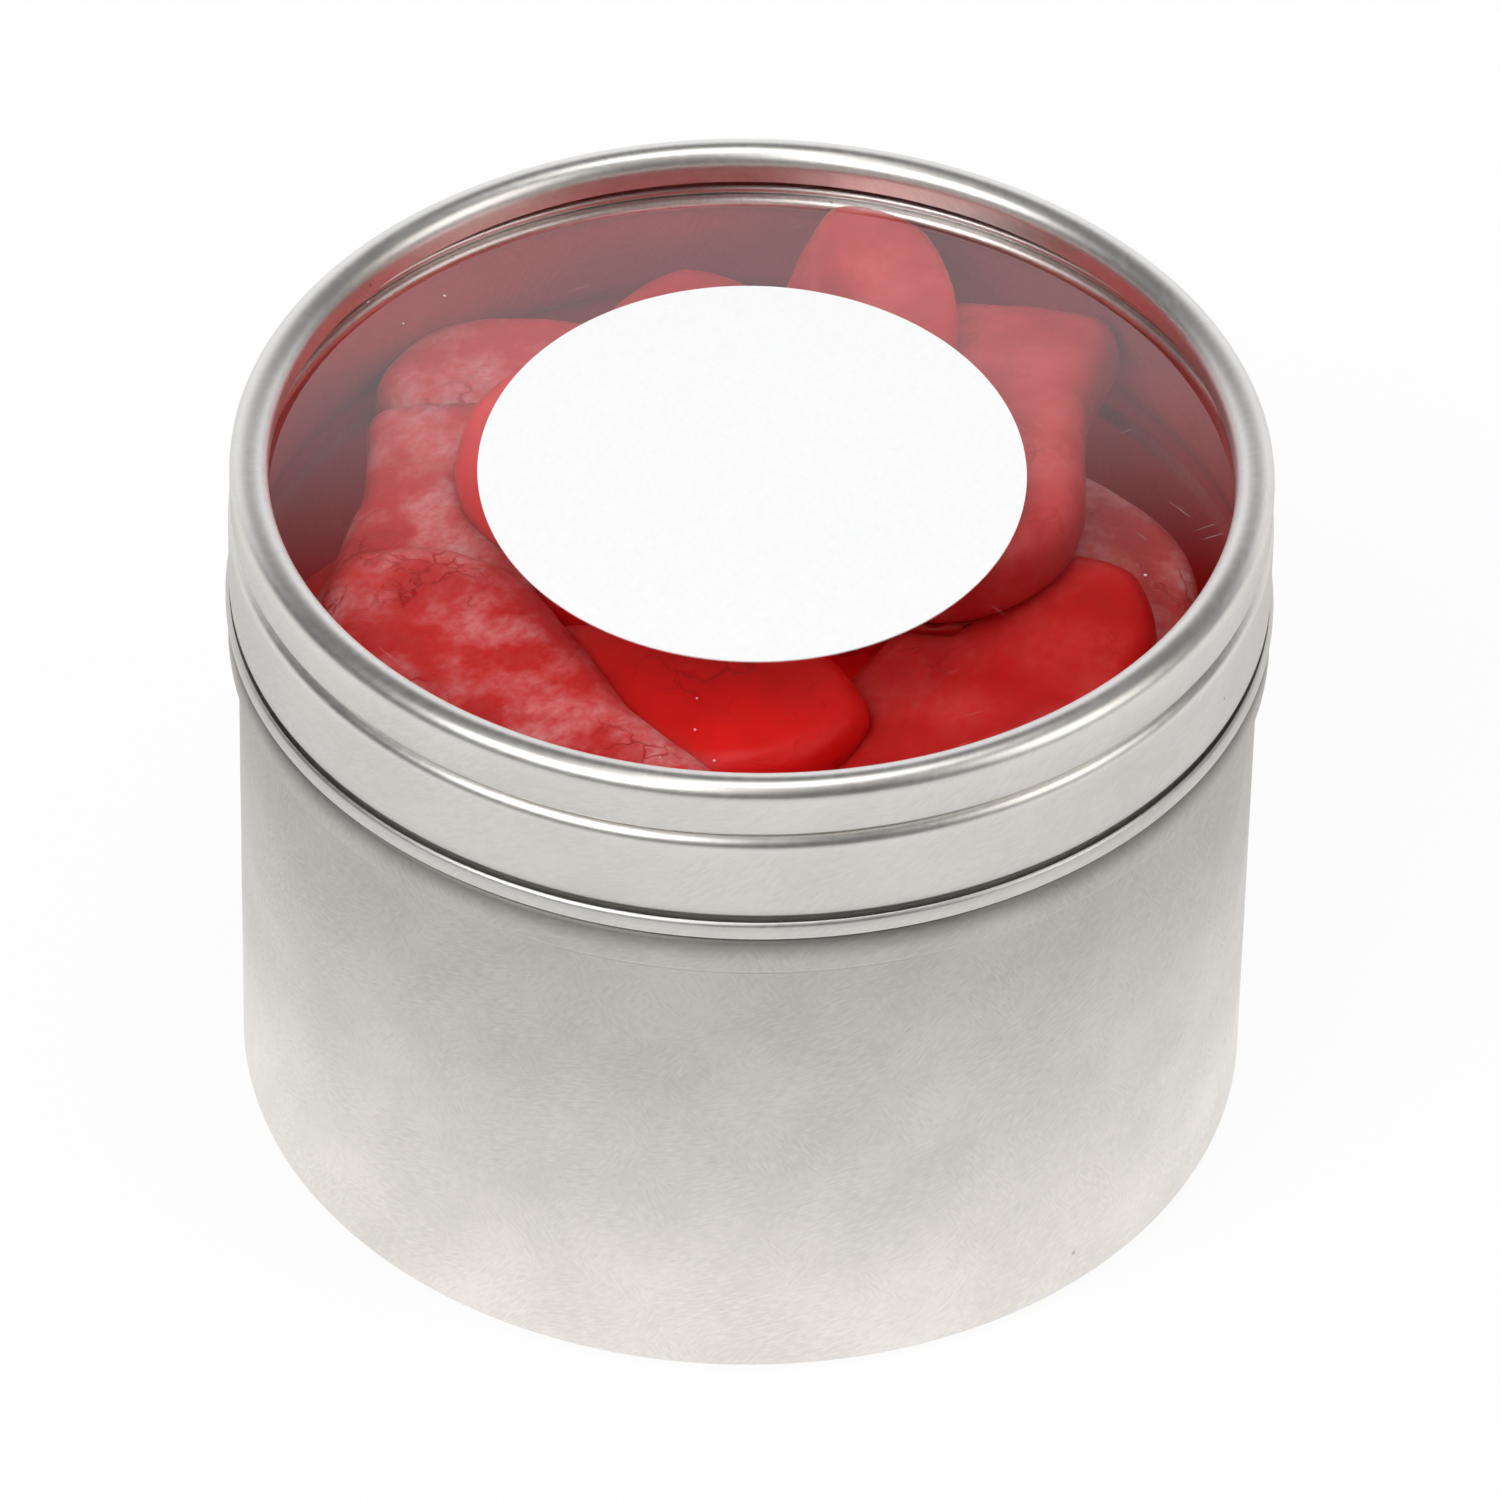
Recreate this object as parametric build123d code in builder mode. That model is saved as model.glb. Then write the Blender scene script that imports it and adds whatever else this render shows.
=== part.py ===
from build123d import *
import os

# Round slip-lid tin with a clear window, filled with fish-shaped gummy sweets.
# Millimetres. +Z is up, the tin's axis is Z, and z = 0 is the surface that it stands on.
# The sheet-metal profiles are written on the middle of the sheet, in the XZ plane, then thickened.

# Driving dimensions: tinplate body
SHEET = 0.3
BODY_RADIUS = 40.0
BASE_CORNER = 1.5
PANEL_MARGIN = 4.0
PANEL_RISE = 0.6
PANEL_SLOPE = 0.9
STOP_BOTTOM = 42.0
STOP_TOP = 45.5
STOP_DEPTH = 0.8
STOP_EDGE = 0.6
NECK_DEPTH = 0.1
MOUTH_HEIGHT = 55.0
MOUTH_CURL = 0.65
MOUTH_CURL_TURN = 255

# Driving dimensions: lid shell
LID_SEAT_GAP = 0.1
RIM_RADIUS = 1.49
RIM_HEIGHT = 1.5
BAND_STEP = 0.15
BAND_ROUND = 0.8
BAND_HEIGHT = 3.4
FOLD_DEPTH = 1.1
FOLD_GAP = 0.1
SHOULDER_ROUND = 1.14
SKIRT_PLAY = 0.49
GRIP_CLEARANCE = 0.1
GRIP_RISE = 1.9
GRIP_SLOPE = 0.6
CURL_DEPTH = 0.96
CURL_HEIGHT = 1.74
CURL_END_TURN = 65

# Driving dimensions: window and its blank label
WINDOW_THICKNESS = 0.6
WINDOW_FIT = 0.3
WINDOW_SEAT_GAP = 0.05
LABEL_LENGTH = 42.7
LABEL_WIDTH = 46.2
LABEL_THICKNESS = 0.1
LABEL_SHIFT = 1.15

# Driving dimensions: one sweet
SWEET_LENGTH = 38.0
SWEET_WIDTH = 17.0
SWEET_THICKNESS = 6.8
SWEET_EDGE = 2.4
SWEET_BELLY = 3.0
SWEET_WAIST = 13.0
SWEET_TAIL = 15.0
SWEET_TAIL_LENGTH = 11.0
SWEET_TAIL_CORNER = 2.0
SWEET_BLUNTNESS = 3.4
SWEET_CHEEK = 0.66
SWEET_WAIST_ROUND = 6.0
SWEET_BELLY_ROUND = 8.0
SWEET_GAP = 0.12
ROWS_PER_LAYER = 4
ROW_GAP = 0.4
LAYER_GAP = 0.2
LAYER_TURN = 50
PILE_HEIGHT = 19.0
HEADROOM = 0.5

# Loose sweets on top of the layers: name, place (x, y and height above the top layer),
# heading of the nose, nose-up angle and roll to its right side, in degrees.
# Upper sweets come first, and each later one is pressed in where it meets an earlier one.
PILE = [
    ("front_left", (-19.0, -18.0, 12.6), 130, 3, -4),
    ("front_middle", (-9.6, -16.2, 11.2), -4, 0, 3),
    ("right_top", (17.9, 9.8, 15.4), -102, 5, 4),
    ("front_right", (16.4, -12.6, 8.8), 44, 6, 8),
    ("centre", (-10.8, 1.5, 12.6), 114, 8, 0),
    ("centre_right", (10.6, 9.6, 12.0), -75, 0, -4),
    ("back_nose", (9.0, 19.0, 12.9), 93, 18, -54),
    ("left", (-24.4, 0.6, 10.2), -94, 0, 6),
    ("back_left", (-11.2, 24.5, 8.6), 184, 3, 6),
    ("back_middle", (-3.4, 18.6, 9.4), 97, 3, 0),
    ("right_low", (27.4, -1.5, 6.4), 104, 3, 10),
    ("left_low", (-27.0, -9.5, 3.0), 104, 2, -6),
]

# Worked out from the driving dimensions
HALF_SHEET = SHEET / 2
floor_height = PANEL_RISE + SHEET
neck_radius = BODY_RADIUS - NECK_DEPTH
PANEL_RADIUS = BODY_RADIUS - PANEL_MARGIN
SKIRT_RADIUS = neck_radius + SKIRT_PLAY + SHEET
BAND_RADIUS = SKIRT_RADIUS - BAND_STEP
curl_bottom = STOP_TOP + LID_SEAT_GAP
curl_top = curl_bottom + CURL_HEIGHT
fold_height = MOUTH_HEIGHT + LID_SEAT_GAP + SHEET + FOLD_GAP / 2
band_top = fold_height + BAND_HEIGHT
rim_centre_radius = BAND_RADIUS - RIM_RADIUS
lip_bottom = fold_height + FOLD_GAP / 2 + SHEET + WINDOW_SEAT_GAP
window_top = band_top - RIM_HEIGHT
window_bottom = window_top - WINDOW_THICKNESS
window_radius = BAND_RADIUS - SHEET - WINDOW_FIT
row_pitch = SWEET_WIDTH + ROW_GAP
layer_pitch = SWEET_THICKNESS + LAYER_GAP
layer_count = int((window_bottom - floor_height - PILE_HEIGHT) / layer_pitch)
pile_floor = floor_height + layer_count * layer_pitch

os.makedirs("parts", exist_ok=True)


def draw_body_section():
    """Middle line of the body's sheet, from the axis out to the inward curl at the mouth."""
    wall = BODY_RADIUS - HALF_SHEET
    neck = neck_radius - HALF_SHEET
    stop = BODY_RADIUS + STOP_DEPTH - HALF_SHEET
    panel = PANEL_RISE + HALF_SHEET
    curl = MOUTH_CURL - HALF_SHEET
    curl_height = MOUTH_HEIGHT - MOUTH_CURL
    FilletPolyline(
        (0, panel),
        (PANEL_RADIUS, panel),
        (PANEL_RADIUS + PANEL_SLOPE, HALF_SHEET),
        (wall, HALF_SHEET),
        (wall, STOP_BOTTOM - STOP_DEPTH / 2),
        (stop, STOP_BOTTOM + STOP_DEPTH / 2),
        (stop, STOP_TOP - HALF_SHEET),
        (neck, STOP_TOP - HALF_SHEET),
        (neck, curl_height),
        radius=[
            SHEET,
            SHEET,
            BASE_CORNER - HALF_SHEET,
            STOP_EDGE,
            STOP_EDGE,
            STOP_EDGE - HALF_SHEET,
            SHEET,
        ],
    )
    CenterArc((neck - curl, curl_height), curl, 0, MOUTH_CURL_TURN)


def draw_lid_section():
    """Middle line of the lid's sheet, from the rim's inner edge over to the curl at the skirt's foot."""
    rim = RIM_RADIUS - HALF_SHEET
    band = BAND_RADIUS - HALF_SHEET
    band_round = BAND_ROUND - HALF_SHEET
    fold = (FOLD_GAP + SHEET) / 2
    fold_radius = BAND_RADIUS - FOLD_DEPTH
    skirt = SKIRT_RADIUS - HALF_SHEET
    shoulder = SHOULDER_ROUND - HALF_SHEET
    shoulder_foot = fold_height - fold - shoulder
    grip = neck_radius + GRIP_CLEARANCE + HALF_SHEET
    curl = CURL_DEPTH / 2 - HALF_SHEET
    curl_foot = curl_bottom + CURL_DEPTH / 2
    curl_head = curl_top - CURL_DEPTH / 2
    rim_edge = window_top + WINDOW_SEAT_GAP + HALF_SHEET
    Line((rim_centre_radius - rim, rim_edge), (rim_centre_radius - rim, band_top))
    CenterArc((rim_centre_radius, band_top), rim, 180, -180)
    Line((band, band_top), (band, fold_height + fold + band_round))
    CenterArc((band - band_round, fold_height + fold + band_round), band_round, 0, -90)
    Line((band - band_round, fold_height + fold), (fold_radius, fold_height + fold))
    CenterArc((fold_radius, fold_height), fold, 90, 180)
    Line((fold_radius, fold_height - fold), (skirt - shoulder, fold_height - fold))
    CenterArc((skirt - shoulder, shoulder_foot), shoulder, 90, -90)
    FilletPolyline(
        (skirt, shoulder_foot),
        (skirt, curl_bottom + GRIP_RISE + GRIP_SLOPE),
        (grip, curl_bottom + GRIP_RISE),
        (grip, curl_foot),
        radius=[SHEET, SHEET],
    )
    CenterArc((grip + curl, curl_foot), curl, 180, 180)
    Line((grip + 2 * curl, curl_foot), (grip + 2 * curl, curl_head))
    CenterArc((grip + curl, curl_head), curl, 0, CURL_END_TURN)


def sheet_ring(draw_section):
    """Solid of revolution whose wall is the sheet's thickness about the middle line."""
    with BuildPart() as ring:
        with BuildSketch(Plane.XZ):
            with BuildLine():
                draw_section()
            trace(line_width=SHEET)
        revolve(axis=Axis.Z)
    return ring


# Tin body: base with a raised panel, wall, stop bead for the lid, neck and inward mouth curl
tin_body = sheet_ring(draw_body_section)
tin_body.part.label = "tin_body"
export_step(tin_body.part, "parts/tin_body.step")

# Lid shell: raised rim, band, fold under the window, skirt, grip groove and outward curl
lid_shell = sheet_ring(draw_lid_section)
lid_shell.part.label = "lid_shell"
export_step(lid_shell.part, "parts/lid_shell.step")

# Clear window: a disc with a down-turned lip that snaps in above the fold
with BuildPart() as lid_window:
    with BuildSketch(Plane.XY.offset(lip_bottom)):
        Circle(window_radius)
    extrude(amount=window_top - lip_bottom)
    fillet(lid_window.edges().group_by(Axis.Z)[-1], WINDOW_THICKNESS)
    with BuildSketch(Plane.XY.offset(lip_bottom)):
        Circle(window_radius - WINDOW_THICKNESS)
    extrude(amount=window_bottom - lip_bottom, mode=Mode.SUBTRACT)
lid_window.part.label = "lid_window"
export_step(lid_window.part, "parts/lid_window.step")

# Blank oval label on the window
with BuildPart() as window_label:
    with BuildSketch(Plane.XY.offset(window_top)):
        with Locations((0, LABEL_SHIFT)):
            Ellipse(LABEL_LENGTH / 2, LABEL_WIDTH / 2)
    extrude(amount=LABEL_THICKNESS)
window_label.part.label = "window_label"
export_step(window_label.part, "parts/window_label.step")


def inside(floor):
    """The space that sweets may fill, from a floor up to just under the window."""
    wall = BODY_RADIUS - SHEET - NECK_DEPTH - SWEET_GAP
    mouth = neck_radius - 2 * MOUTH_CURL - SWEET_GAP
    curl_foot = MOUTH_HEIGHT - 2 * MOUTH_CURL - SWEET_GAP
    with BuildPart() as space:
        with BuildSketch(Plane.XZ):
            with BuildLine():
                Polyline(
                    (0, floor + SWEET_GAP),
                    (wall, floor + SWEET_GAP),
                    (wall, curl_foot),
                    (mouth, curl_foot),
                    (mouth, window_bottom - HEADROOM),
                    (0, window_bottom - HEADROOM),
                    close=True,
                )
            make_face()
        revolve(axis=Axis.Z)
    return space.part


def gummy_fish(growth=0.0):
    """A gummy fish about the origin, nose along +X, larger all round by the growth."""
    nose = SWEET_LENGTH / 2 + growth
    tail_end = -SWEET_LENGTH / 2 - growth
    half_body = SWEET_WIDTH / 2 + growth
    waist = -SWEET_LENGTH / 2 + SWEET_TAIL_LENGTH
    with BuildPart() as fish:
        with BuildSketch() as outline:
            with BuildLine():
                ThreePointArc(
                    (nose, 0),
                    (nose - SWEET_BLUNTNESS, SWEET_CHEEK * half_body),
                    (SWEET_BELLY, half_body),
                )
                Line((SWEET_BELLY, half_body), (waist, SWEET_WAIST / 2 + growth))
                Line((waist, SWEET_WAIST / 2 + growth), (tail_end, SWEET_TAIL / 2 + growth))
                Line((tail_end, SWEET_TAIL / 2 + growth), (tail_end, 0))
                mirror(about=Plane.XZ)
            make_face()
            fillet(outline.vertices().group_by(Axis.X)[0], SWEET_TAIL_CORNER)
            fillet(outline.vertices().filter_by_position(Axis.X, waist, waist), SWEET_WAIST_ROUND)
            fillet(outline.vertices().filter_by_position(Axis.X, SWEET_BELLY, SWEET_BELLY), SWEET_BELLY_ROUND)
        extrude(amount=SWEET_THICKNESS / 2 + growth, both=True)
        faces = fish.faces().sort_by(Axis.Z)
        fillet(faces[0].edges() + faces[-1].edges(), SWEET_EDGE)
    return fish.part


def export_sweet(name, place, space, settled):
    """One sweet, kept inside the space and pressed in where it meets the settled ones."""
    with BuildPart() as sweet:
        with Locations(place):
            add(plain_sweet)
        add(space, mode=Mode.INTERSECT)
        for neighbour in settled:
            add(neighbour, mode=Mode.SUBTRACT)
        add(sweet.solids().sort_by(SortBy.VOLUME)[-1], mode=Mode.REPLACE)
    sweet.part.label = name
    export_step(sweet.part, f"parts/{name}.step")


plain_sweet = gummy_fish()
pressing_sweet = gummy_fish(SWEET_GAP)

# Flat layers of sweets that fill the tin, each layer turned on the one below
for layer in range(layer_count):
    layer_space = inside(floor_height + layer * layer_pitch)
    layer_middle = floor_height + (layer + 0.5) * layer_pitch
    for row in range(ROWS_PER_LAYER):
        sideways = (row - (ROWS_PER_LAYER - 1) / 2) * row_pitch
        turned = Plane.XY.offset(layer_middle).rotated((0, 0, layer * LAYER_TURN))
        row_plane = Plane(turned.from_local_coords((0, sideways, 0)), x_dir=turned.x_dir * (-1) ** row)
        export_sweet(f"sweet_layer_{layer + 1}_{row + 1}", row_plane, layer_space, [])

# Loose sweets of the top of the pile
pile_space = inside(pile_floor)
settled_sweets = []
for pile_name, (x, y, height), heading, nose_up, roll in PILE:
    pile_place = Plane(Location((x, y, pile_floor + height), (heading, -nose_up, roll), Intrinsic.ZYX))
    export_sweet(f"sweet_{pile_name}", pile_place, pile_space, settled_sweets)
    settled_sweets.append(pile_place.location * pressing_sweet)
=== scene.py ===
import math

import bmesh
import bpy
from mathutils import Matrix, Vector, noise


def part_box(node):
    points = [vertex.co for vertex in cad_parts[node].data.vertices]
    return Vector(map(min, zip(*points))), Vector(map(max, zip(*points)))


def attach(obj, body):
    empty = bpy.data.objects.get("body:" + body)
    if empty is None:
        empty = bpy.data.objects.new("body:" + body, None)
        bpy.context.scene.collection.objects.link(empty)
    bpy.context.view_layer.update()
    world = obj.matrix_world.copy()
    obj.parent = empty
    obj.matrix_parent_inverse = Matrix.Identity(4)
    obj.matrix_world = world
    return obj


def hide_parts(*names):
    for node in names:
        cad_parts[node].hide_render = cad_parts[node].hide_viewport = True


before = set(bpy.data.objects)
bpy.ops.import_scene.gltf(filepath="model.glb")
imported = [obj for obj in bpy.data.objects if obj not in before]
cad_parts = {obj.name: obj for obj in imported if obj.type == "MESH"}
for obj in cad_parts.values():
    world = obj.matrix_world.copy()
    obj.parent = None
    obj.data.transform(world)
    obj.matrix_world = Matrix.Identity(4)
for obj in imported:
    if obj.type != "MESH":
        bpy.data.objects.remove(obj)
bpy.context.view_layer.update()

# Round window-lid tin of red gummy sweets on a white sweep. Metres, with +Z up.
# The window and the label keep their CAD meshes. The metal is turned again from its CAD profile
# with even rings and a slight waviness, and the sweets are soft copies of their solids.

MM = 0.001

# Camera, fitted to the rings of the tin
LENS_MM = 300.0
SENSOR_MM = 36.0
CAMERA_DISTANCE = 0.9906
CAMERA_ELEVATION = math.radians(40.55)
CAMERA_AIM_HEIGHT = 0.026
CAMERA_YAW = math.radians(-0.017)
CAMERA_PITCH = math.radians(0.171)
CAMERA_ROLL = math.radians(-1.199)

# Turned metal: where its mesh is cut for the profile, and how finely it is turned
CUT_ANGLE = math.radians(1.3)
CUT_REACH = 1e-9
WELD_REACH = 0.0005 * MM
RING_SNAP = 0.025 * MM
MICROMETRE_DIGITS = 6
TURN_STEPS = 320
LONGEST_RUN = 1.2 * MM
SHARP_ANGLE = math.radians(38)
WAVE_SIZE = 7.0 * MM
WAVE_DEPTH = 0.035 * MM
BODY_SEED = 3.0
LID_SEED = 8.0

# Soft copies of the sweets: the mesh, its smoothing, and the lumps, dents and swelling of the skin
VOXEL_TOP = 0.42 * MM
VOXEL_LAYER = 0.8 * MM
SMOOTH_FACTOR = 0.5
SMOOTH_ROUNDS = 14
LUMP_SIZE = 9.0 * MM
LUMP_HEIGHT = 0.35 * MM
DENT_SIZE = 3.2 * MM
DENT_HEIGHT = 0.10 * MM
SWELL = 0.30 * MM

# The looks of the sweets. The tone is the colour inside, the bloom is the share of whitish colour, partly a
# real bloom and partly a painted sheen, the skin is the strength of its relief, and the glow is the light
# that reaches buried sweets.
BLOOM_AND_SHEEN_COLOUR = (0.88, 0.50, 0.50)
SWEET_LOOKS = {
    "bright": {"tone": (0.88, 0.008, 0.006), "bloom_and_sheen": 0.01, "skin": 0.25},
    "deep": {"tone": (0.72, 0.009, 0.008), "bloom_and_sheen": 0.09, "skin": 0.30},
    "plain": {"tone": (0.58, 0.013, 0.012), "bloom_and_sheen": 0.11, "skin": 0.08},
    "frosted_and_sheened": {"tone": (0.72, 0.012, 0.010), "bloom_and_sheen": 0.60, "skin": 0.95},
    "pale": {"tone": (0.66, 0.075, 0.070), "bloom_and_sheen": 0.65, "skin": 0.40},
    "under": {"tone": (0.80, 0.008, 0.006), "bloom_and_sheen": 0.0, "skin": 0.20, "glow": 0.16},
}
USUAL_LOOK = "bright"
BURIED_LOOK = "under"
LOOK_OF = {
    "sweet_front_left": "frosted_and_sheened",
    "sweet_left": "frosted_and_sheened",
    "sweet_back_left": "frosted_and_sheened",
    "sweet_front_right": "deep",
    "sweet_left_low": "deep",
    "sweet_right_low": "pale",
    "sweet_right_top": "plain",
    "sweet_back_nose": "plain",
    "sweet_back_middle": "plain",
}

# How many octaves a noise has, and how strong each is against the one before
FEW_OCTAVES = 2.0
SOME_OCTAVES = 3.0
MANY_OCTAVES = 4.0
OCTAVE_STRENGTH = 0.55

# Tinplate: its colour, how far the colour varies, the ways of its brush strokes and its roughness
BODY_METAL = {
    "base": (0.865, 0.825, 0.775),
    "mottle": 0.080,
    "turns": (0.65, -0.55, 1.25),
    "roughness": 0.34,
}
LID_METAL = {
    "base": (0.85, 0.824, 0.786),
    "mottle": 0.05,
    "turns": (1.30, 1.50, 0.9),
    "roughness": 0.31,
}

# How the metal's colour is darkened by height, from the base up: (height, factor)
TIN_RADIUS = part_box("tin_body")[1][0]
LID_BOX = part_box("lid_shell")
LID_FOOT = LID_BOX[0][2]
LID_TOP = LID_BOX[1][2]
CURL_FOOT = 53.4 * MM
# Painted shade on the body: darker towards the top and under the lid, with a painted shadow of the lid in a
# dark band about the lid's foot
BODY_PAINTED_SHADE = [
    (5.0 * MM, 0.99),
    (22.0 * MM, 0.93),
    (LID_FOOT - 2.6 * MM, 0.80),
    (LID_FOOT + 0.1 * MM, 0.42),
    (LID_FOOT + 1.4 * MM, 0.80),
    (CURL_FOOT, 0.80),
    (CURL_FOOT + 0.4 * MM, 1.0),
]
# On the lid: a darker band in the grip groove
LID_TONES = [
    (LID_FOOT + 0.8 * MM, 1.0),
    (LID_FOOT + 1.3 * MM, 0.86),
    (LID_FOOT + 2.4 * MM, 0.86),
    (LID_FOOT + 3.0 * MM, 1.0),
]

# Painted reflection of the red sweets on the inside of the body: red-tinted metal with a share of red
# diffuse colour
RED_REFLECTION_TINT = (0.85, 0.38, 0.38)
RED_REFLECTION_COLOUR = (0.85, 0.05, 0.06)
RED_REFLECTION_SHARE = 0.24
INSIDE_ROUGHNESS = 0.5
INSIDE_FLOOR = 3.0 * MM

# Noises of the tinplate. A grain is in cells per metre round the tin, up it and outward.
CLOUD_GRAIN = (120.0, 90.0, 120.0)
CLOUD_STRENGTH = 0.6
CLOUD_SHARE = 0.42
STROKE_GRAIN = (4100.0, 980.0, 900.0)
STROKE_SHARE = 0.58
STROKE_DEPTH = 0.010 * MM
STROKE_STRENGTH = 0.6
STROKE_ROUGHENING = 0.14
DARKENING_ROUGHENING = 0.4
MOTTLE_RANGE = (0.40, 0.60)
FIRST_PATCH_GRAIN = (150.0, 150.0, 150.0)
FIRST_PATCH_RANGE = (0.44, 0.56)
SECOND_PATCH_GRAIN = (110.0, 130.0, 110.0)
SECOND_PATCH_TURN = 1.0
SECOND_PATCH_RANGE = (0.46, 0.58)
SPECK_GRAIN = 210.0
SPECK_RADIUS = 0.045
SPECK_ZONE_GRAIN = (70.0, 400.0, 70.0)
SPECK_ZONE_FROM = 0.6
SPECK_COVER = 0.45
SPECK_COLOUR = (0.16, 0.15, 0.14)

# Window: clear plastic with scratches that run two ways, and dust. Grains are in cells per metre.
PLASTIC_IOR = 1.5
PLASTIC_CLEARNESS = 0.985
PLASTIC_ROUGHNESS = 0.03
FACES_OF_SHEET = 2.0
TOP_FACE_FROM = 0.98
HAIRLINE_GRAIN = (3600.0, 190.0, 100.0)
HAIRLINE_EDGE = 0.03
HAIRLINES = ({"turn": 1.1, "threshold": 0.715}, {"turn": -0.7, "threshold": 0.725})
HAIRLINE_COVER = 0.16
WORN_GRAIN = (45.0, 45.0, 45.0)
WORN_RANGE = (0.46, 0.6)
DUST_GRAIN = 420.0
DUST_RADIUS = 0.055
DUST_ZONE_GRAIN = (75.0, 75.0, 75.0)
DUST_ZONE_FROM = 0.60
DUST_COVER = 0.55
DUST_LEVEL = 0.9
DUST_ROUGHNESS = 0.35

# Label: coated paper, and the share of light that it lets through to the sweets
FIBRE_GRAIN = (2500.0, 1800.0, 2500.0)
FIBRE_STOPS = [(0.3, (0.90, 0.90, 0.905)), (0.7, (0.93, 0.93, 0.93))]
FIBRE_DEPTH = 0.01 * MM
FIBRE_STRENGTH = 0.3
LABEL_ROUGHNESS = 0.55
LABEL_SHOWS_LIGHT = 0.60

# Gel of the sweets and its skin. Grains are in cells per metre.
GEL_REACH = 7.0 * MM
GEL_REACH_RGB = (1.0, 0.06, 0.04)
GEL_GLOSS = 0.3
GEL_CLOUD_GRAIN = (170.0, 170.0, 170.0)
GEL_CLOUD_RANGE = (0.32, 0.68)
GEL_DARK_SHARE = 0.8
PORE_GRAIN = (1100.0, 1100.0, 1100.0)
PORE_HEIGHT = 0.30
PORE_ROUGHENING = 0.25
CRINKLE_GRAIN = (1500.0, 950.0, 1300.0)
CRINKLE_TURN = 0.7
CRINKLE_STRENGTH = 0.6
CRINKLE_HEIGHT = 0.25
CRINKLE_RANGE = (0.36, 0.66)
# Whitish patches on the skin, partly a real bloom and partly a painted sheen
CRINKLE_LEAST_FROST_AND_SHEEN = 0.4
FROST_AND_SHEEN_RANGE = (0.44, 0.66)
FROST_AND_SHEEN_LEAST = 0.10
CRACK_GRAIN = 230.0
CRACK_WIDTH = 0.045
CRACK_BEND_GRAIN = 260.0
CRACK_BEND = (0.006, 0.006, 0.006)
CRACK_ZONE_GRAIN = (120.0, 120.0, 120.0)
CRACK_ZONE_RANGE = (0.5, 0.62)
CRACK_COVER = 0.7
# Painted shade in the cracks: the share of the colour left there
CRACK_DARK_SHARE = 0.6
CRACK_HEIGHT = -0.8
SKIN_DEPTH = 0.30 * MM
SKIN_ROUGHNESS = 0.28

# Levels of light, where 1 is white
FLOOR_GLOW = 0.92
FLOOR_REACH = 3.0
FLOOR_PAPER = 0.88
FLOOR_DIP_REACH = 0.20
FLOOR_DIP_STOPS = [(0.22, (0.0, 0.0, 0.0)), (0.42, (0.42, 0.42, 0.42)), (0.56, (0.14, 0.14, 0.14))]
WORLD_FILL = 0.43
WORLD_GLOSS = 0.05

# White card behind the tin, which fades out towards its upper edge
BACKDROP_LEVEL = 1.05
BACKDROP_COLOUR = (0.94, 0.96, 1.0, 1.0)
BACKDROP_PLACE = 0.60
BACKDROP_HALF_WIDTH = 1.2
BACKDROP_TOP = 0.62
FADE_LOW = 0.522
FADE_HIGH = 0.570
FADE_SLANT = 0.08

LAMPS = [
    {"name": "key", "place": (-0.50, -0.60, 0.85), "aim": (0, 0, 0.04), "size": (0.7, 0.5), "power": 5.6},
    {"name": "top", "place": (0.1, -0.10, 1.15), "aim": (0, 0, 0.04), "size": (0.6, 0.45), "power": 2.7},
    {"name": "fill", "place": (0.8, -0.3, 0.55), "aim": (0, 0, 0.03), "size": (0.5, 0.6), "power": 2.1,
     "colour": (1.0, 0.98, 0.95)},
]

WHITE = (1.0, 1.0, 1.0, 1.0)
LEVEL_PART = (1.0, 1.0, 0.0)


# ---------------------------------------------------------------- node helpers

def new_material(name):
    """An empty node material, with its node tree and its output."""
    material = bpy.data.materials.new(name)
    material.use_nodes = True
    tree = material.node_tree
    tree.nodes.clear()
    output = tree.nodes.new("ShaderNodeOutputMaterial")
    return material, tree, output


def add_node(tree, kind, settings=(), **inputs):
    """A node with its settings, and with its inputs as values or as sockets to link.

    An input is given by its name with underscores for blanks, or by its number after an i.
    """
    node = tree.nodes.new(kind)
    for name, value in dict(settings).items():
        setattr(node, name, value)
    for name, value in inputs.items():
        by_number = name[0] == "i" and name[1:].isdigit()
        socket = node.inputs[int(name[1:]) if by_number else name.replace("_", " ")]
        if isinstance(value, bpy.types.NodeSocket):
            tree.links.new(value, socket)
        else:
            socket.default_value = value
    return node


def math_node(tree, operation, a, b=0.0, c=0.0, clamp=False):
    settings = {"operation": operation, "use_clamp": clamp}
    return add_node(tree, "ShaderNodeMath", settings, i0=a, i1=b, i2=c).outputs[0]


def times(tree, a, b):
    return math_node(tree, "MULTIPLY", a, b)


def blend(tree, share, first, second):
    """A value that goes from the first to the second as the share goes from 0 to 1."""
    rest = math_node(tree, "SUBTRACT", 1.0, share)
    return math_node(tree, "ADD", times(tree, second, share), times(tree, first, rest))


def vector_node(tree, operation, *operands):
    """A vector operation. A length or a dot product comes out as a value."""
    inputs = {f"i{number}": operand for number, operand in enumerate(operands)}
    node = add_node(tree, "ShaderNodeVectorMath", {"operation": operation}, **inputs)
    return node.outputs["Value" if operation in ("LENGTH", "DOT_PRODUCT") else "Vector"]


def object_position(tree):
    return add_node(tree, "ShaderNodeTexCoord").outputs["Object"]


def true_normal(tree):
    return add_node(tree, "ShaderNodeNewGeometry").outputs["True Normal"]


def ray_is(tree, kind):
    """1 for rays of a kind, such as Shadow or Glossy, else 0."""
    return add_node(tree, "ShaderNodeLightPath").outputs[f"Is {kind} Ray"]


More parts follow.
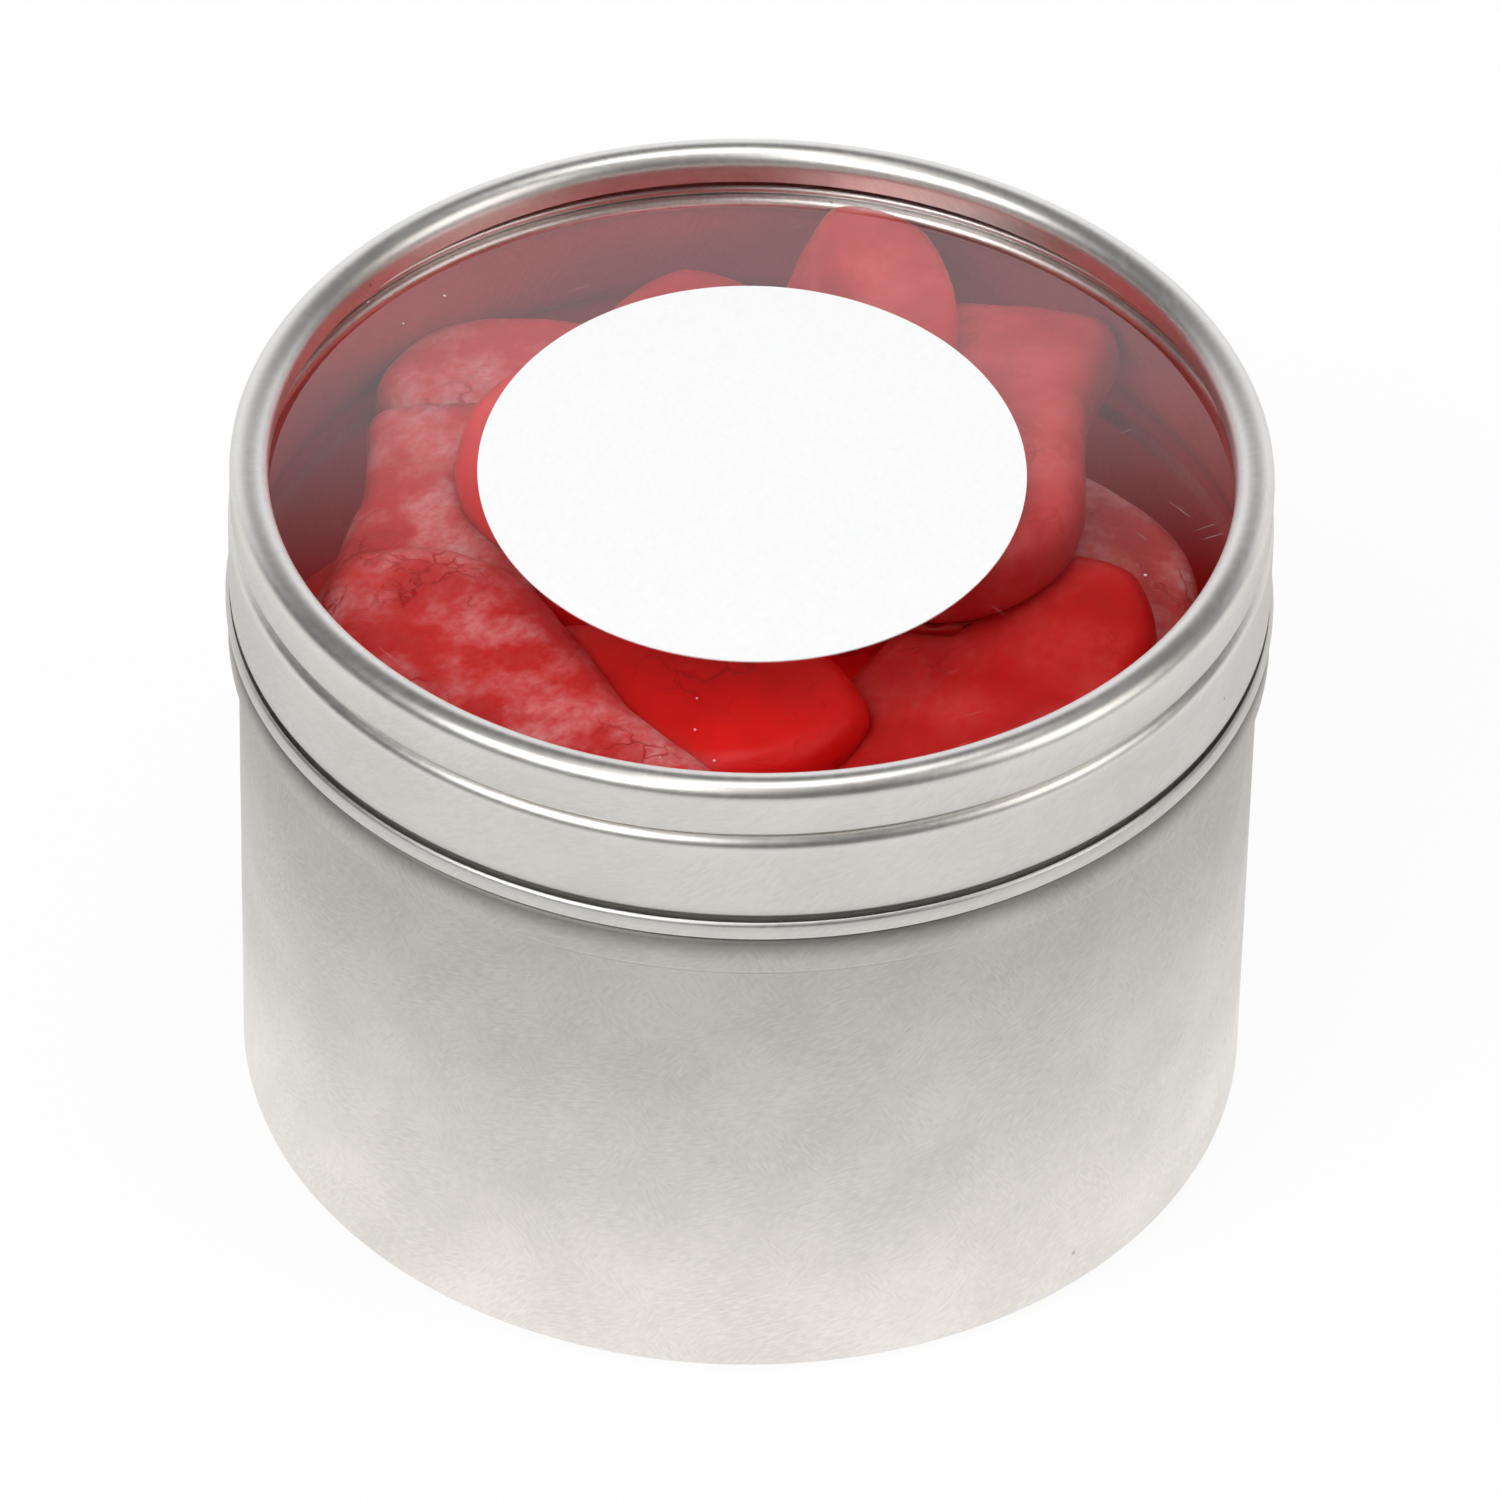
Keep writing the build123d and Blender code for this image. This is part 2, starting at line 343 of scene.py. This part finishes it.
def stretched_noise(tree, position, grain, octaves, turn=0.0, strength=OCTAVE_STRENGTH):
    """Noise that is turned about its third axis, with its grain stretched along each turned axis."""
    turned = add_node(
        tree, "ShaderNodeVectorRotate", {"rotation_type": "Z_AXIS"}, Vector=position, Angle=turn)
    scaled = vector_node(tree, "MULTIPLY", turned.outputs[0], grain)
    noisy = add_node(
        tree, "ShaderNodeTexNoise", (), Vector=scaled, Scale=1.0, Detail=octaves, Roughness=strength)
    return noisy.outputs["Fac"]


def cells(tree, position, grain, feature="F1"):
    """The distance to the nearest cell's centre, or with DISTANCE_TO_EDGE to the nearest cell's edge."""
    return add_node(
        tree, "ShaderNodeTexVoronoi", {"feature": feature}, Vector=position, Scale=grain
    ).outputs["Distance"]


def dots(tree, position, grain, radius, zone, zone_from):
    """1 on small dots in the places where the zone is above a level, else 0."""
    near = math_node(tree, "LESS_THAN", cells(tree, position, grain), radius)
    return times(tree, near, math_node(tree, "GREATER_THAN", zone, zone_from))


def grey(level):
    return (level, level, level)


def ramp(tree, value, stops, interpolation="LINEAR"):
    """A colour ramp from a list of (place, colour) stops."""
    node = add_node(tree, "ShaderNodeValToRGB", (), Fac=value)
    node.color_ramp.interpolation = interpolation
    elements = node.color_ramp.elements
    while len(elements) < len(stops):
        elements.new(0.5)
    for element, (place, colour) in zip(elements, stops):
        element.position = place
        element.color = (*colour, 1.0)
    return node.outputs["Color"]


def rise(tree, value, ends, least=0.0):
    """A grey that rises from the least at the first end to 1 at the second."""
    return ramp(tree, value, [(ends[0], grey(least)), (ends[1], grey(1.0))])


def mix_colour(tree, amount, first, second, blend_type="MIX"):
    node = tree.nodes.new("ShaderNodeMix")
    node.data_type = "RGBA"
    node.blend_type = blend_type
    for socket, value in ((node.inputs[0], amount), (node.inputs[6], first), (node.inputs[7], second)):
        if isinstance(value, bpy.types.NodeSocket):
            tree.links.new(value, socket)
        else:
            socket.default_value = value if isinstance(value, float) else (*value, 1.0)
    return node.outputs[2]


def mix_shader(tree, amount, first, second):
    return add_node(tree, "ShaderNodeMixShader", (), i0=amount, i1=first, i2=second).outputs[0]


def see_through(tree, colour=WHITE):
    return add_node(tree, "ShaderNodeBsdfTransparent", (), Color=colour).outputs[0]


def emission(tree, colour, strength):
    return add_node(tree, "ShaderNodeEmission", (), Color=colour, Strength=strength).outputs[0]


def bump(tree, height, distance, strength):
    return add_node(
        tree, "ShaderNodeBump", (), Height=height, Distance=distance, Strength=strength
    ).outputs[0]


# ---------------------------------------------------------------- materials

def wrapped_position(tree):
    """Object position unrolled about the axis: (angle times radius, height, radius), in metres."""
    parts = add_node(tree, "ShaderNodeSeparateXYZ", (), Vector=object_position(tree)).outputs
    angle = math_node(tree, "ARCTAN2", parts["Y"], parts["X"])
    squares = math_node(
        tree, "ADD", times(tree, parts["X"], parts["X"]), times(tree, parts["Y"], parts["Y"]))
    radius = math_node(tree, "SQRT", squares)
    return add_node(
        tree, "ShaderNodeCombineXYZ", (), X=times(tree, angle, TIN_RADIUS), Y=parts["Z"], Z=radius
    ).outputs[0]


def swirled(tree, around, turns):
    """Short brush strokes that run three ways, each way in its own patches."""
    strokes = [stretched_noise(tree, around, STROKE_GRAIN, SOME_OCTAVES, turn) for turn in turns]
    patch = stretched_noise(tree, around, FIRST_PATCH_GRAIN, FEW_OCTAVES)
    other = stretched_noise(tree, around, SECOND_PATCH_GRAIN, FEW_OCTAVES, SECOND_PATCH_TURN)
    pair = blend(tree, rise(tree, patch, FIRST_PATCH_RANGE), strokes[1], strokes[0])
    return blend(tree, rise(tree, other, SECOND_PATCH_RANGE), pair, strokes[2])


def tone_by_height(tree, height, stops):
    """A grey factor for the colour from a list of (height, factor) stops."""
    share = math_node(tree, "DIVIDE", height, LID_TOP)
    return ramp(tree, share, [(place / LID_TOP, grey(factor)) for place, factor in stops], "EASE")


def inner_side(tree, height, top):
    """1 on the faces that look at the tin's axis, between the raised base and a top height, else 0."""
    level_normal = vector_node(tree, "MULTIPLY", true_normal(tree), LEVEL_PART)
    outward = vector_node(tree, "DOT_PRODUCT", object_position(tree), level_normal)
    inward = math_node(tree, "LESS_THAN", outward, 0.0)
    above_floor = math_node(tree, "GREATER_THAN", height, INSIDE_FLOOR)
    below_top = math_node(tree, "LESS_THAN", height, top)
    return times(tree, times(tree, inward, above_floor), below_top)


def red_reflection_metal(tree, colour, normal):
    """The metal of the inside, with a painted red reflection of the sweets: red-tinted, with a share of red
    diffuse colour on it.
    """
    tinted = mix_colour(tree, 1.0, colour, RED_REFLECTION_TINT, "MULTIPLY")
    metal = add_node(
        tree, "ShaderNodeBsdfPrincipled", (), Base_Color=tinted, Metallic=1.0,
        Roughness=INSIDE_ROUGHNESS, Normal=normal)
    overlay_shader = add_node(tree, "ShaderNodeBsdfDiffuse", (), Color=(*RED_REFLECTION_COLOUR, 1.0))
    return mix_shader(tree, RED_REFLECTION_SHARE, metal.outputs[0], overlay_shader.outputs[0])


def tinplate(name, tones, base, mottle, turns, roughness, red_reflection_top=None):
    """Satin tinplate: mottled, with short brushing and dark specks, its colour darkened by height (painted
    shade on the body), and with a painted red reflection of the sweets inside.

    The painted red reflection reaches up to the given top height. Without one there is none.
    """
    material, tree, output = new_material(name)
    around = wrapped_position(tree)
    height = add_node(tree, "ShaderNodeSeparateXYZ", (), Vector=around).outputs["Y"]
    cloud = stretched_noise(tree, around, CLOUD_GRAIN, MANY_OCTAVES, turns[0], CLOUD_STRENGTH)
    strokes = swirled(tree, around, turns)
    level = math_node(tree, "MULTIPLY_ADD", cloud, CLOUD_SHARE, times(tree, strokes, STROKE_SHARE))
    dark = tuple(part * (1.0 - mottle) for part in base)
    light = tuple(part * (1.0 + mottle) for part in base)
    colour = ramp(tree, level, list(zip(MOTTLE_RANGE, (dark, light))))
    tone = tone_by_height(tree, height, tones)
    colour = mix_colour(tree, 1.0, colour, tone, "MULTIPLY")
    zone = stretched_noise(tree, around, SPECK_ZONE_GRAIN, FEW_OCTAVES)
    specks = dots(tree, around, SPECK_GRAIN, SPECK_RADIUS, zone, SPECK_ZONE_FROM)
    colour = mix_colour(tree, times(tree, specks, SPECK_COVER), colour, SPECK_COLOUR)
    # The darkening by height, painted shade on the body, also makes the metal rougher
    darkening = math_node(tree, "SUBTRACT", 1.0, tone)
    brushed = math_node(tree, "MULTIPLY_ADD", strokes, STROKE_ROUGHENING, roughness)
    rough = math_node(tree, "MULTIPLY_ADD", darkening, DARKENING_ROUGHENING, brushed)
    normal = bump(tree, strokes, STROKE_DEPTH, STROKE_STRENGTH)
    shader = add_node(
        tree, "ShaderNodeBsdfPrincipled", (), Base_Color=colour, Metallic=1.0, Roughness=rough,
        Normal=normal).outputs[0]
    # Painted reflection of the red sweets on the inside
    if red_reflection_top is not None:
        inside = inner_side(tree, height, red_reflection_top)
        shader = mix_shader(tree, inside, shader, red_reflection_metal(tree, colour, normal))
    tree.links.new(shader, output.inputs["Surface"])
    return material


def hairlines(tree, position, turn, threshold):
    """Sparse thin scratches that run one way, as 0 to 1."""
    field = stretched_noise(tree, position, HAIRLINE_GRAIN, FEW_OCTAVES, turn)
    return rise(tree, field, (threshold, threshold + HAIRLINE_EDGE))


def clear_plastic(name):
    """Clear window: see-through, mirroring on its outer faces, with fine scratches and dust on top."""
    material, tree, output = new_material(name)
    position = object_position(tree)
    backfacing = add_node(tree, "ShaderNodeNewGeometry").outputs["Backfacing"]
    outward = math_node(tree, "SUBTRACT", 1.0, backfacing)
    upward = add_node(tree, "ShaderNodeSeparateXYZ", (), Vector=true_normal(tree)).outputs["Z"]
    top = times(tree, outward, math_node(tree, "GREATER_THAN", upward, TOP_FACE_FROM))
    one_way, other_way = [hairlines(tree, position, **lines) for lines in HAIRLINES]
    worn = rise(tree, stretched_noise(tree, position, WORN_GRAIN, FEW_OCTAVES), WORN_RANGE)
    scratches = mix_colour(tree, 1.0, mix_colour(tree, 1.0, one_way, other_way, "ADD"), worn, "MULTIPLY")
    dust_zone = stretched_noise(tree, position, DUST_ZONE_GRAIN, SOME_OCTAVES)
    dust = dots(tree, position, DUST_GRAIN, DUST_RADIUS, dust_zone, DUST_ZONE_FROM)
    marks = math_node(tree, "MULTIPLY_ADD", scratches, HAIRLINE_COVER, times(tree, dust, DUST_COVER))
    haze = math_node(tree, "MULTIPLY", top, marks, clamp=True)
    clear = see_through(tree, (*grey(PLASTIC_CLEARNESS), 1.0))
    overlay_shader = add_node(
        tree, "ShaderNodeBsdfPrincipled", (), Base_Color=(*grey(DUST_LEVEL), 1.0), Roughness=DUST_ROUGHNESS)
    mirror = add_node(tree, "ShaderNodeBsdfAnisotropic", (), Color=WHITE, Roughness=PLASTIC_ROUGHNESS)
    shine = add_node(tree, "ShaderNodeFresnel", (), IOR=PLASTIC_IOR).outputs[0]
    both_faces = math_node(tree, "MULTIPLY", times(tree, shine, outward), FACES_OF_SHEET, clamp=True)
    glossy = mix_shader(tree, both_faces, clear, mirror.outputs[0])
    dusty = mix_shader(tree, haze, glossy, overlay_shader.outputs[0])
    shader = mix_shader(tree, ray_is(tree, "Shadow"), dusty, clear)
    tree.links.new(shader, output.inputs["Surface"])
    return material


def label_paper(name):
    """Plain white coated paper with a faint fibre, thin enough to let some light through."""
    material, tree, output = new_material(name)
    fibre = stretched_noise(tree, object_position(tree), FIBRE_GRAIN, MANY_OCTAVES)
    paper = add_node(
        tree, "ShaderNodeBsdfPrincipled", (), Base_Color=ramp(tree, fibre, FIBRE_STOPS),
        Roughness=LABEL_ROUGHNESS, Normal=bump(tree, fibre, FIBRE_DEPTH, FIBRE_STRENGTH))
    let_through = times(tree, ray_is(tree, "Shadow"), LABEL_SHOWS_LIGHT)
    shader = mix_shader(tree, let_through, paper.outputs[0], see_through(tree))
    tree.links.new(shader, output.inputs["Surface"])
    return material


def crack_mask(tree, position):
    """Fine branching cracks in some zones of the skin, as 0 to 1."""
    bend = add_node(
        tree, "ShaderNodeTexNoise", (), Vector=position, Scale=CRACK_BEND_GRAIN, Detail=SOME_OCTAVES
    ).outputs["Color"]
    bent = vector_node(tree, "MULTIPLY_ADD", bend, CRACK_BEND, position)
    edges = cells(tree, bent, CRACK_GRAIN, "DISTANCE_TO_EDGE")
    share = math_node(tree, "DIVIDE", edges, CRACK_WIDTH)
    line = math_node(tree, "SUBTRACT", 1.0, share, clamp=True)
    zone = rise(tree, stretched_noise(tree, position, CRACK_ZONE_GRAIN, FEW_OCTAVES), CRACK_ZONE_RANGE)
    return times(tree, line, zone)


def gummy(name, tone, bloom_and_sheen, skin, glow=0.0):
    """Red gel sweet: light goes deep into it, with cracks darkened by painted shade, pores, and whitish
    patches on the skin that are partly a real bloom and partly a painted sheen.

    The glow stands for the light that reaches a buried sweet through the ones above it.
    """
    material, tree, output = new_material(name)
    position = object_position(tree)
    cloud = stretched_noise(tree, position, GEL_CLOUD_GRAIN, MANY_OCTAVES)
    pores = stretched_noise(tree, position, PORE_GRAIN, SOME_OCTAVES)
    crinkle = stretched_noise(
        tree, position, CRINKLE_GRAIN, MANY_OCTAVES, CRINKLE_TURN, CRINKLE_STRENGTH)
    cracks = crack_mask(tree, position)
    dark = tuple(part * GEL_DARK_SHARE for part in tone)
    colour = ramp(tree, cloud, list(zip(GEL_CLOUD_RANGE, (dark, tone))))
    # Whitish patches: partly a real bloom and partly a painted sheen
    patches = rise(tree, cloud, FROST_AND_SHEEN_RANGE, FROST_AND_SHEEN_LEAST)
    grains = rise(tree, crinkle, CRINKLE_RANGE, CRINKLE_LEAST_FROST_AND_SHEEN)
    frost_and_sheen = mix_colour(tree, 1.0, patches, grains, "MULTIPLY")
    colour = mix_colour(tree, times(tree, frost_and_sheen, bloom_and_sheen), colour, BLOOM_AND_SHEEN_COLOUR)
    # Painted shade in the cracks: the colour is darker there
    in_cracks = tuple(part * CRACK_DARK_SHARE for part in tone)
    colour = mix_colour(tree, times(tree, cracks, CRACK_COVER), colour, in_cracks)
    creased = math_node(tree, "MULTIPLY_ADD", crinkle, CRINKLE_HEIGHT, times(tree, cracks, CRACK_HEIGHT))
    relief = math_node(tree, "MULTIPLY_ADD", pores, PORE_HEIGHT, creased)
    shader = add_node(
        tree, "ShaderNodeBsdfPrincipled", (), Base_Color=colour,
        Roughness=math_node(tree, "MULTIPLY_ADD", pores, PORE_ROUGHENING, SKIN_ROUGHNESS),
        Normal=bump(tree, relief, SKIN_DEPTH, skin), Subsurface_Weight=1.0,
        Subsurface_Radius=GEL_REACH_RGB, Subsurface_Scale=GEL_REACH, Specular_IOR_Level=GEL_GLOSS,
        Emission_Color=(*tone, 1.0), Emission_Strength=glow)
    tree.links.new(shader.outputs[0], output.inputs["Surface"])
    return material


def give(thing, material):
    thing.data.materials.clear()
    thing.data.materials.append(material)


# ---------------------------------------------------------------- metal

def ring_table(mesh):
    """The radius and height of every ring of vertices, in metres to the micrometre."""
    return {
        (round(math.hypot(v.co.x, v.co.y), MICROMETRE_DIGITS), round(v.co.z, MICROMETRE_DIGITS))
        for v in mesh.vertices
    }


def cut_chain(mesh):
    """The points in which a half plane through the axis cuts a turned mesh, in order."""
    cut = bmesh.new()
    cut.from_mesh(mesh)
    bmesh.ops.remove_doubles(cut, verts=cut.verts, dist=WELD_REACH)
    normal = (-math.sin(CUT_ANGLE), math.cos(CUT_ANGLE), 0.0)
    everything = cut.verts[:] + cut.edges[:] + cut.faces[:]
    result = bmesh.ops.bisect_plane(
        cut, geom=everything, dist=CUT_REACH, plane_co=(0, 0, 0), plane_no=normal
    )
    links = {}
    for edge in result["geom_cut"]:
        if isinstance(edge, bmesh.types.BMEdge) and min(v.co.x for v in edge.verts) > 0.0:
            first, second = edge.verts
            links.setdefault(first, []).append(second)
            links.setdefault(second, []).append(first)
    ends = [vertex for vertex, others in links.items() if len(others) == 1]
    here = ends[0] if ends else next(iter(links))
    before = None
    chain = []
    while here is not None and not (chain and here is chain[0]):
        chain.append(here)
        onward = [vertex for vertex in links[here] if vertex is not before]
        before, here = here, (onward[0] if onward else None)
    points = [(math.hypot(v.co.x, v.co.y), v.co.z) for v in chain]
    cut.free()
    return points, bool(ends)


def turned_profile(mesh):
    """The exact profile of a turned mesh: its rings of vertices, in the order of the cut."""
    chain, is_open = cut_chain(mesh)
    rings = sorted(ring_table(mesh))
    profile = []
    for radius, height in chain:
        nearest = min(rings, key=lambda ring: math.hypot(ring[0] - radius, ring[1] - height))
        close = math.hypot(nearest[0] - radius, nearest[1] - height) < RING_SNAP
        if close and (not profile or nearest != profile[-1]):
            profile.append(nearest)
    if is_open:
        profile = [(0.0, profile[0][1])] + profile + [(0.0, profile[-1][1])]
    elif profile[0] == profile[-1]:
        profile.pop()
    return profile, is_open


def divided(profile, is_open):
    """The profile with its long straight runs divided."""
    following = profile[1:] + ([] if is_open else profile[:1])
    points = []
    for (r0, z0), (r1, z1) in zip(profile, following):
        parts = max(1, math.ceil(math.hypot(r1 - r0, z1 - z0) / LONGEST_RUN))
        points += [(r0 + (r1 - r0) * k / parts, z0 + (z1 - z0) * k / parts) for k in range(parts)]
    return points + (profile[-1:] if is_open else [])


def turned_copy(node_name, seed):
    """A turned mesh of a metal node, with even rings and a slight inward waviness of the sheet."""
    profile, is_open = turned_profile(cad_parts[node_name].data)
    points = divided(profile, is_open)
    shape = bmesh.new()
    rings = []
    for radius, height in points:
        if radius == 0.0:
            rings.append([shape.verts.new((0.0, 0.0, height))] * TURN_STEPS)
            continue
        ring = []
        for step in range(TURN_STEPS):
            turn = 2 * math.pi * step / TURN_STEPS
            across, along = math.cos(turn), math.sin(turn)
            place = Vector((across * radius, along * radius, height)) / WAVE_SIZE
            wave = (noise.noise(place + Vector((seed, 0.0, 0.0))) - 1.0) / 2 * WAVE_DEPTH
            ring.append(shape.verts.new((across * (radius + wave), along * (radius + wave), height)))
        rings.append(ring)
    pairs = list(zip(rings, rings[1:])) + ([] if is_open else [(rings[-1], rings[0])])
    for first, second in pairs:
        for step in range(TURN_STEPS):
            other = (step + 1) % TURN_STEPS
            corners = [first[step], first[other], second[other], second[step]]
            corners = [corner for k, corner in enumerate(corners) if corner not in corners[:k]]
            shape.faces.new(corners)
    bmesh.ops.recalc_face_normals(shape, faces=shape.faces[:])
    mesh = bpy.data.meshes.new(f"turned_{node_name}")
    shape.to_mesh(mesh)
    shape.free()
    mesh.shade_smooth()
    mesh.set_sharp_from_angle(angle=SHARP_ANGLE)
    piece = bpy.data.objects.new(f"turned_{node_name}", mesh)
    bpy.context.scene.collection.objects.link(piece)
    return piece


def make_metal(node_name, body, material, seed):
    piece = turned_copy(node_name, seed)
    give(piece, material)
    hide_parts(node_name)
    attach(piece, body)


# ---------------------------------------------------------------- sweets

def baked(thing):
    """The mesh of an object with its modifiers applied."""
    graph = bpy.context.evaluated_depsgraph_get()
    return bpy.data.meshes.new_from_object(thing.evaluated_get(graph))


def soft_copy(node_name, voxel):
    """A softened copy of a sweet's solid, with rounded pressed-in edges and a lumpy skin."""
    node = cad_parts[node_name]
    piece = bpy.data.objects.new(f"soft_{node_name}", node.data.copy())
    bpy.context.scene.collection.objects.link(piece)
    remesh = piece.modifiers.new("even", "REMESH")
    remesh.mode = "VOXEL"
    remesh.voxel_size = voxel
    smooth = piece.modifiers.new("soft", "SMOOTH")
    smooth.factor = SMOOTH_FACTOR
    smooth.iterations = SMOOTH_ROUNDS
    mesh = baked(piece)
    piece.modifiers.clear()
    piece.data = mesh
    normals = [vertex.normal.copy() for vertex in mesh.vertices]
    for vertex, normal in zip(mesh.vertices, normals):
        lump = noise.noise(vertex.co / LUMP_SIZE) * LUMP_HEIGHT
        dent = noise.noise(vertex.co / DENT_SIZE) * DENT_HEIGHT
        vertex.co += normal * (lump + dent + SWELL)
    mesh.shade_smooth()
    return piece


def make_sweets():
    materials = {look: gummy(f"gummy_{look}", **values) for look, values in SWEET_LOOKS.items()}
    names = sorted(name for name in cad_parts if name.startswith("sweet_"))
    for name in names:
        buried = name.startswith("sweet_layer_")
        piece = soft_copy(name, VOXEL_LAYER if buried else VOXEL_TOP)
        give(piece, materials[BURIED_LOOK if buried else LOOK_OF.get(name, USUAL_LOOK)])
        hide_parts(name)
        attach(piece, "tin")


# ---------------------------------------------------------------- stage

def flat_mesh(name, corners):
    mesh = bpy.data.meshes.new(name)
    mesh.from_pydata(corners, [], [tuple(range(len(corners)))])
    plane = bpy.data.objects.new(name, mesh)
    bpy.context.scene.collection.objects.link(plane)
    return plane


def seen_or_mirrored(tree):
    """1 for camera, glossy and transmitted rays, else 0."""
    shown = math_node(tree, "MAXIMUM", ray_is(tree, "Camera"), ray_is(tree, "Glossy"))
    return math_node(tree, "MAXIMUM", shown, ray_is(tree, "Transmission"))


def make_floor():
    """White floor that glows where it is seen or mirrored, and still takes the tin's shadow.

    In mirrors a ring of it round the tin is darker, which gives the body its shading.
    """
    reach = FLOOR_REACH
    corners = [(-reach, -reach, 0), (reach, -reach, 0), (reach, reach, 0), (-reach, reach, 0)]
    floor = flat_mesh("floor", corners)
    material, tree, output = new_material("floor_white")
    paper = add_node(tree, "ShaderNodeBsdfDiffuse", (), Color=(*grey(FLOOR_PAPER), 1.0))
    distance = vector_node(tree, "LENGTH", object_position(tree))
    dip = ramp(tree, math_node(tree, "DIVIDE", distance, FLOOR_DIP_REACH), FLOOR_DIP_STOPS, "EASE")
    level = math_node(tree, "SUBTRACT", 1.0, times(tree, ray_is(tree, "Glossy"), dip))
    amount = times(tree, seen_or_mirrored(tree), FLOOR_GLOW)
    shader = mix_shader(tree, amount, paper.outputs[0], emission(tree, WHITE, level))
    tree.links.new(shader, output.inputs["Surface"])
    give(floor, material)


def make_backdrop():
    """White card behind the tin, whose soft upper edge is mirrored across the middle of the window.

    The camera looks through it, so that it doesn't hide the tin from behind.
    """
    wide, back, top = BACKDROP_HALF_WIDTH, BACKDROP_PLACE, BACKDROP_TOP
    corners = [(-wide, back, 0.0), (wide, back, 0.0), (wide, back, top), (-wide, back, top)]
    card = flat_mesh("backdrop", corners)
    material, tree, output = new_material("backdrop_white")
    place = add_node(tree, "ShaderNodeSeparateXYZ", (), Vector=object_position(tree)).outputs
    height = math_node(tree, "MULTIPLY_ADD", place["X"], FADE_SLANT, place["Z"])
    fade = add_node(
        tree, "ShaderNodeMapRange", {"interpolation_type": "SMOOTHSTEP"}, Value=height,
        From_Min=FADE_LOW, From_Max=FADE_HIGH, To_Min=1.0, To_Max=0.0).outputs[0]
    glow = emission(tree, BACKDROP_COLOUR, times(tree, fade, BACKDROP_LEVEL))
    shader = mix_shader(tree, ray_is(tree, "Camera"), glow, see_through(tree))
    tree.links.new(shader, output.inputs["Surface"])
    give(card, material)


def make_world():
    """White where it is seen, dim where it is mirrored, and an even fill elsewhere."""
    world = bpy.data.worlds.new("studio")
    bpy.context.scene.world = world
    world.use_nodes = True
    tree = world.node_tree
    tree.nodes.clear()
    output = tree.nodes.new("ShaderNodeOutputWorld")
    seen = ray_is(tree, "Camera")
    mirrored = ray_is(tree, "Glossy")
    neither = math_node(tree, "SUBTRACT", 1.0, math_node(tree, "MAXIMUM", seen, mirrored))
    direct = math_node(tree, "ADD", seen, times(tree, mirrored, WORLD_GLOSS))
    level = math_node(tree, "ADD", direct, times(tree, neither, WORLD_FILL))
    background = add_node(tree, "ShaderNodeBackground", (), Color=WHITE, Strength=level)
    tree.links.new(background.outputs[0], output.inputs["Surface"])


def soft_box(name, place, aim, size, power, colour=(1.0, 1.0, 1.0)):
    lamp = bpy.data.lights.new(name, "AREA")
    lamp.shape = "RECTANGLE"
    lamp.size, lamp.size_y = size
    lamp.energy = power
    lamp.color = colour
    holder = bpy.data.objects.new(name, lamp)
    holder.location = place
    holder.rotation_euler = (Vector(aim) - Vector(place)).to_track_quat("-Z", "Y").to_euler()
    bpy.context.scene.collection.objects.link(holder)


def make_camera():
    """Camera at the fitted place, turned by the small fitted yaw, pitch and roll."""
    across = Vector((1.0, 0.0, 0.0))
    forward = Vector((0.0, math.cos(CAMERA_ELEVATION), -math.sin(CAMERA_ELEVATION)))
    axes = {"across": across, "forward": forward, "upward": across.cross(forward)}
    place = Vector((0.0, 0.0, CAMERA_AIM_HEIGHT)) - forward * CAMERA_DISTANCE
    for angle, name in ((CAMERA_YAW, "upward"), (CAMERA_PITCH, "across"), (CAMERA_ROLL, "forward")):
        turn = Matrix.Rotation(angle, 3, axes[name].copy())
        axes = {key: turn @ axis for key, axis in axes.items()}
    data = bpy.data.cameras.new("camera")
    data.lens = LENS_MM
    data.sensor_width = SENSOR_MM
    camera = bpy.data.objects.new("camera", data)
    matrix = Matrix((axes["across"], axes["upward"], -axes["forward"])).transposed().to_4x4()
    matrix.translation = place
    camera.matrix_world = matrix
    bpy.context.scene.collection.objects.link(camera)
    bpy.context.scene.camera = camera


# ---------------------------------------------------------------- the scene

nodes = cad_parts
body_look = tinplate("tinplate_body", BODY_PAINTED_SHADE, red_reflection_top=CURL_FOOT, **BODY_METAL)
make_metal("tin_body", "tin", body_look, BODY_SEED)
make_metal("lid_shell", "lid", tinplate("tinplate_lid", LID_TONES, **LID_METAL), LID_SEED)
give(nodes["lid_window"], clear_plastic("window_plastic"))
give(nodes["window_label"], label_paper("label_paper"))
make_sweets()
make_floor()
make_backdrop()
make_world()
for lamp in LAMPS:
    soft_box(**lamp)
make_camera()
bpy.context.scene.view_settings.view_transform = "Standard"
